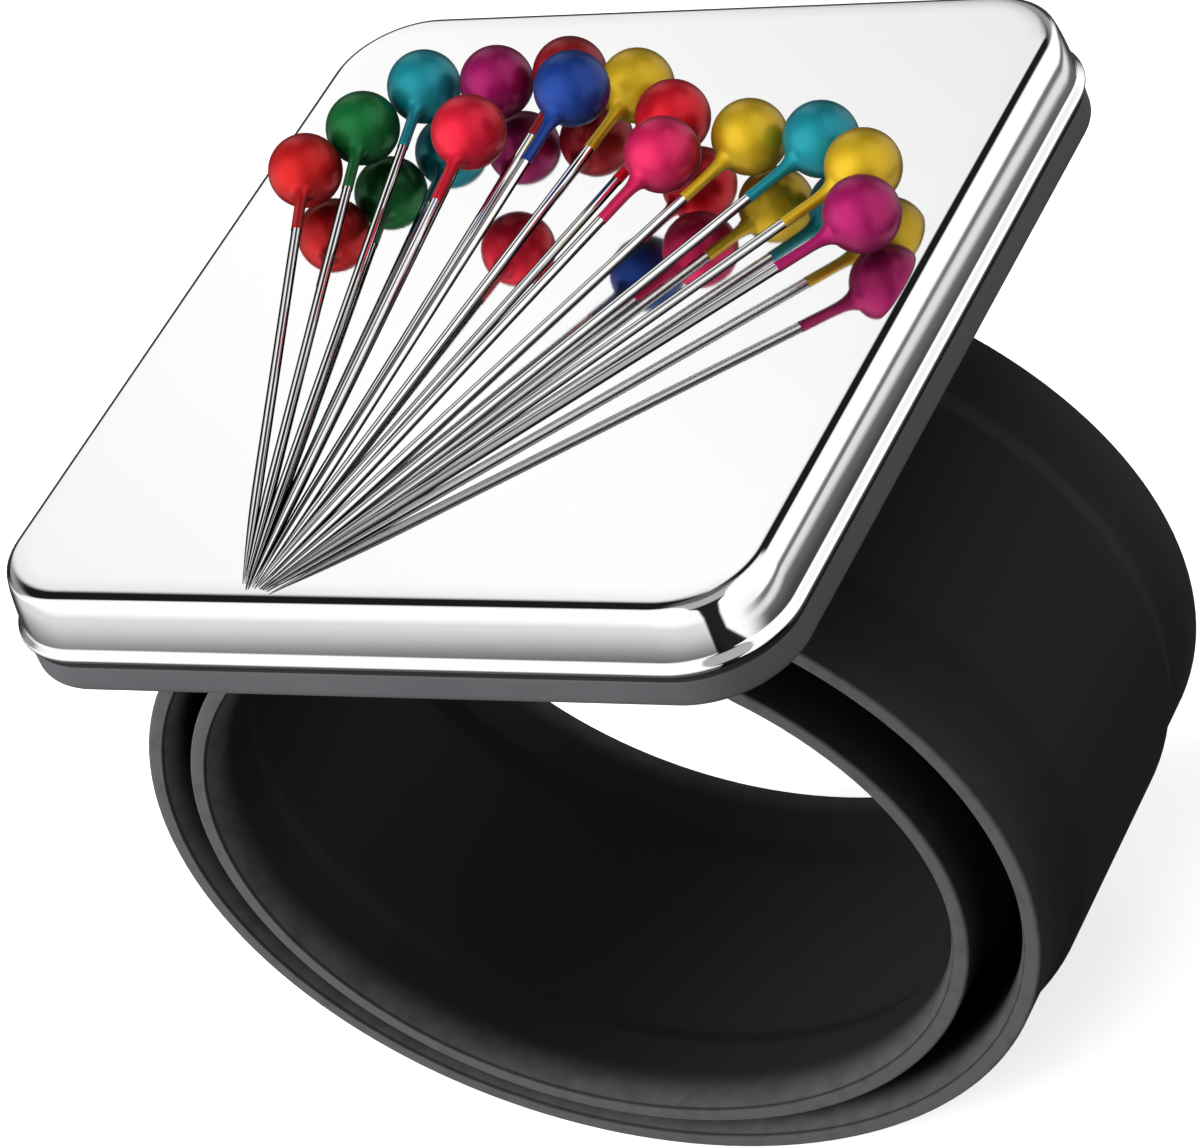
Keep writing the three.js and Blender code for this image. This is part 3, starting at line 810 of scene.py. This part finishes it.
# %% The room's light, by direction
world = bpy.data.worlds.new("room")
world.use_nodes = True
bpy.context.scene.world = world
nodes, links = world.node_tree.nodes, world.node_tree.links
background = nodes["Background"]


def world_math(operation, *values):
    """One step of arithmetic on numbers or on other steps' results."""
    node = nodes.new("ShaderNodeMath")
    node.operation = operation
    for socket, value in zip(node.inputs, values):
        if isinstance(value, (int, float)):
            socket.default_value = value
        else:
            links.new(value, socket)
    return node.outputs[0]


def world_range(value, start, end, low=0.0, high=1.0):
    """A smooth step from low, where the value is start, to high, where it is end."""
    node = nodes.new("ShaderNodeMapRange")
    node.interpolation_type = "SMOOTHSTEP"
    limits = (("From Min", start), ("From Max", end), ("To Min", low), ("To Max", high))
    for key, number in limits:
        node.inputs[key].default_value = number
    links.new(value, node.inputs["Value"])
    return node.outputs["Result"]


def world_mix(share, low, high):
    """low + share (high - low), for numbers or steps' results."""
    return world_math("MULTIPLY_ADD", share, world_math("SUBTRACT", high, low), low)


# %% The direction looked in
direction_node = nodes.new("ShaderNodeTexCoord")
split = nodes.new("ShaderNodeSeparateXYZ")
looked_at = direction_node.outputs["Generated"]
links.new(looked_at, split.inputs[0])
x, y, z = split.outputs


def measured_along(direction):
    """The looked-at direction's dot product with a vector."""
    total = world_math("MULTIPLY", x, direction[0])
    total = world_math("MULTIPLY_ADD", y, direction[1], total)
    return world_math("MULTIPLY_ADD", z, direction[2], total)


# %% Strokes across the sky
def world_vector(operation, *values):
    """One step of arithmetic on vectors or on other steps' results."""
    node = nodes.new("ShaderNodeVectorMath")
    node.operation = operation
    for socket, value in zip(node.inputs, values):
        if isinstance(value, Vector):
            socket.default_value = value
        else:
            links.new(value, socket)
    return node.outputs["Value"] if operation == "DISTANCE" else node.outputs[0]


def stroke(start, end, start_width, end_width):
    """How far the looked-at direction is from a stroke drawn across the sky, below 0 inside it."""
    start, end = Vector(start).normalized(), Vector(end).normalized()
    way = end - start
    travelled = measured_along(way / way.length_squared)
    share = world_math("ADD", travelled, -start.dot(way) / way.length_squared)
    share = world_math("MAXIMUM", world_math("MINIMUM", share, 1.0), 0.0)
    nearest = world_vector("NORMALIZE", world_vector("MULTIPLY_ADD", share, way, start))
    width = world_math("MULTIPLY_ADD", share, end_width - start_width, start_width)
    return world_math("SUBTRACT", world_vector("DISTANCE", looked_at, nearest), width)


# %% [markdown]
# The white ceiling gives the plate its white face, and the walls give the greys on its sides. The
# black line along its rounded edge is the frame of a window in that ceiling, bent as the edge's
# reflections need it. The black wedge on the front right corner is the gap in the white set where
# the photographer stands.

# %% Walls and ceiling
# Three shares that are 1 towards one side of the room: its right, its back, its front right corner.
right_side = world_math("MULTIPLY", world_range(x, -0.1, 0.3), world_range(y, -0.45, 0.2))
back_side = world_math("MULTIPLY", world_range(y, 0.0, 0.35), world_range(x, 0.3, -0.1))
bright_corner = world_math("MULTIPLY", world_range(x, 0.35, 0.6), world_range(y, 0.1, -0.45))

# The walls below the ceiling, each in the greys that its side of the plate mirrors.
front_grey = world_range(z, -0.575, -0.36, 0.10, 0.70)
right_low = world_range(z, -0.54, -0.48, 0.055, 0.13)
right_grey = world_math("ADD", right_low, world_range(z, -0.485, -0.455, 0, 0.60))
lower = world_mix(back_side, world_mix(right_side, front_grey, right_grey), 0.05)
lower = world_mix(bright_corner, lower, 1.0)

# Where each wall ends and the ceiling begins, and a dark rail along the right wall.
upper = world_mix(right_side, world_range(z, -0.35, -0.27), world_range(z, -0.42, -0.39))
upper = world_mix(back_side, upper, world_range(z, 0.20, 0.32))
room = world_mix(upper, lower, 1.0)
from_rail = world_math("ABSOLUTE", world_math("ADD", z, 0.41))
rail = world_math("MULTIPLY", right_side, world_range(from_rail, 0.03, 0.01))
room = world_math("MULTIPLY", room, world_math("MULTIPLY_ADD", rail, -0.8, 1.0))

# %% Window frame
# Directions that the frame runs through, each with the half-width of the frame there.
window_frame = (
    ((-0.93, 0.2, 0.2), 0.30),
    ((-0.58, 0.13, 0.80), 0.33),
    ((0.05, -0.05, 1), 0.18),
    ((0.0, 0.70, 0.71), 0.15),
    ((0.36, 0.72, 0.60), 0.13),
    ((0.08, 0.86, 0.50), 0.13),
    ((-0.25, 0.88, 0.38), 0.17),
)
to_frame = 1.0
for (start, start_width), (end, end_width) in zip(window_frame, window_frame[1:]):
    to_frame = world_math("MINIMUM", stroke(start, end, start_width, end_width), to_frame)
frame_gap = world_range(to_frame, 0.10, -0.03)
near_frame = world_range(to_frame, 0.26, 0.0, 0.0, 0.30)
print("window frame has", len(window_frame) - 1, "strokes")

# It is fainter low down and overhead, where it would darken the whole flat face at once.
frame_gap = world_math("MULTIPLY", frame_gap, world_range(z, 0.42, 0.62, 0.6, 1.0))
frame_gap = world_math("MULTIPLY", frame_gap, world_range(z, 0.92, 0.98, 1.0, 0.85))

# %% Gap where the photographer stands
# Widest above and below, and narrow at the height of the corner's wall.
towards = measured_along((0.615, -0.788, 0))
aside = measured_along((-0.788, -0.615, 0))
gap_high = world_math("MAXIMUM", world_math("MULTIPLY_ADD", z, 0.45, 0.126), 0.0)
gap_high = world_math("MINIMUM", gap_high, 0.2)
gap_low = world_math("MAXIMUM", world_math("MULTIPLY_ADD", z, -2.0, -0.84), 0.0)
gap_low = world_math("MULTIPLY", gap_low, world_math("LESS_THAN", aside, 0.0))
gap_half = world_math("ADD", world_math("ADD", gap_high, gap_low), 0.15)
past_gap = world_math("SUBTRACT", world_math("ABSOLUTE", aside), gap_half)
set_gap = world_math("MULTIPLY", world_range(past_gap, 0.03, -0.03), world_range(towards, 0, 0.1))
set_gap = world_math("MULTIPLY", set_gap, world_range(z, 0.05, 0.3, 1.0, 0.6))

# %% The finished room
darkness, brightness = 0.985, 1.12
dark = world_math("MAXIMUM", frame_gap, set_gap)
room = world_math("MULTIPLY", room, world_math("SUBTRACT", 1.0, near_frame))
room = world_math("MULTIPLY", room, world_math("MULTIPLY_ADD", dark, -darkness, 1.0))
room = world_math("MULTIPLY", room, brightness)
path = nodes.new("ShaderNodeLightPath")
strength = world_mix(path.outputs["Is Camera Ray"], room, 1.0)
links.new(strength, background.inputs["Strength"])
background.inputs["Color"].default_value = (1, 1, 1, 1)
bpy.context.scene.view_settings.view_transform = "Standard"
print("room's light has", len(nodes), "nodes")

# %% [markdown]
# The room alone would leave the matt pieces flat. One lamp from above and one from the left give
# the beads and the band a bright and a dark side. Both are wide, so their shadows are soft, and the
# mirror doesn't show them.

# %% Two soft lamps
for name, energy, size, place in (
    ("soft_lamp_above", 3.2, 0.5, (-60, -180, 330)),
    ("soft_lamp_left", 6.0, 0.25, (-300, -260, 40)),
):
    lamp_data = bpy.data.lights.new(name, "AREA")
    lamp_data.energy = energy
    lamp_data.size = size
    lamp = bpy.data.objects.new(name, lamp_data)
    lamp.location = Vector(place) * MM
    lamp.rotation_euler = (-lamp.location).to_track_quat("-Z", "Y").to_euler()
    lamp.visible_glossy = False
    bpy.context.scene.collection.objects.link(lamp)
    print(name, "is", round(lamp.location.length / MM), "mm away")
